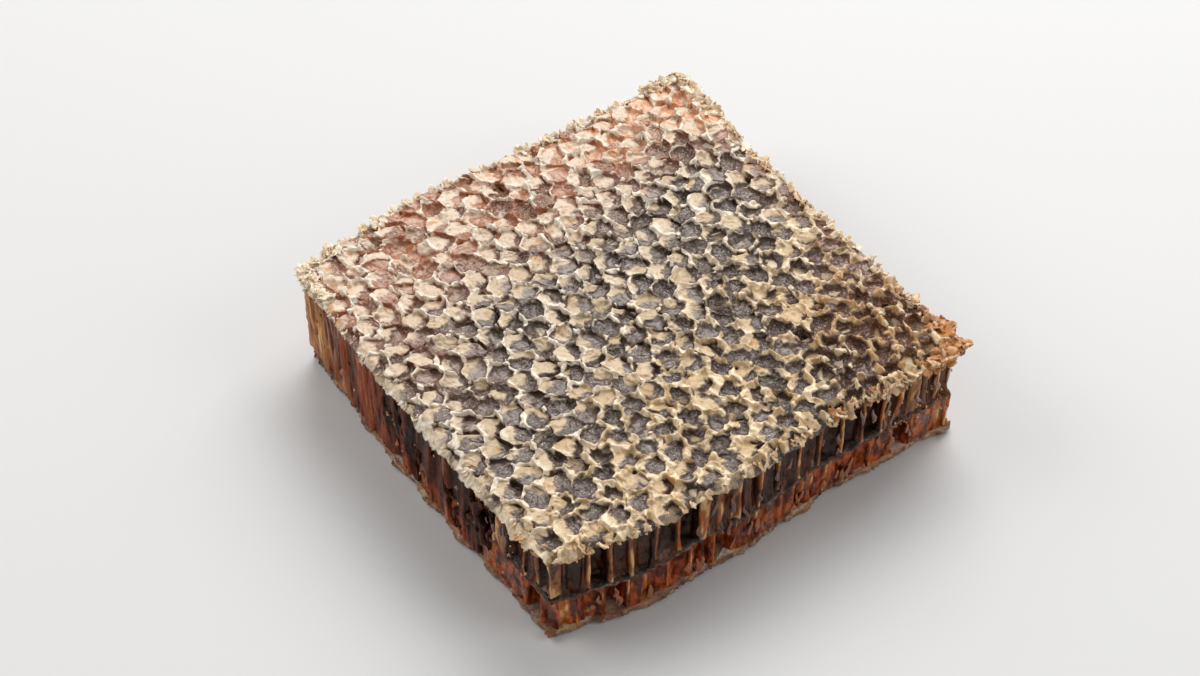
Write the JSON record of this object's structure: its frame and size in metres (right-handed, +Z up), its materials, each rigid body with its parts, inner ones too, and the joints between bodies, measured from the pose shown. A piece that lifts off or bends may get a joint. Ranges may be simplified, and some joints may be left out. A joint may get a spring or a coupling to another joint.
{
  "type": "honeycomb piece",
  "caption": "Square cut slab of comb honey: two layers of hexagonal cells back to back on a thin midrib, closed by wax cappings, with opened cells along its cut sides.",
  "frame": {"origin": "middle of the bounding box, on the flat underside of the lower cappings", "axes": "+Z up, out of the upper cappings; -Y towards the front cut, where the caps are torn; +X to the right along it"},
  "size_m": [0.104, 0.106, 0.0253],
  "materials": {
    "capping_wax": "pale beeswax cappings, dry and cream on the raised caps, thin and wet with dark honey where they sink",
    "dark_honey_cells": "cut wax cells wet with dark honey, glossy",
    "midrib_wax": "thin wax sheet between the two layers of cells",
    "amber_honey_cells": "cut wax cells full of red-amber honey, glossy"
  },
  "bodies": {
    "root": {"upper_capping": "capping_wax", "upper_cells": "dark_honey_cells", "midrib": "midrib_wax", "lower_cells": "amber_honey_cells", "lower_capping": "capping_wax"}
  },
  "joints": []
}
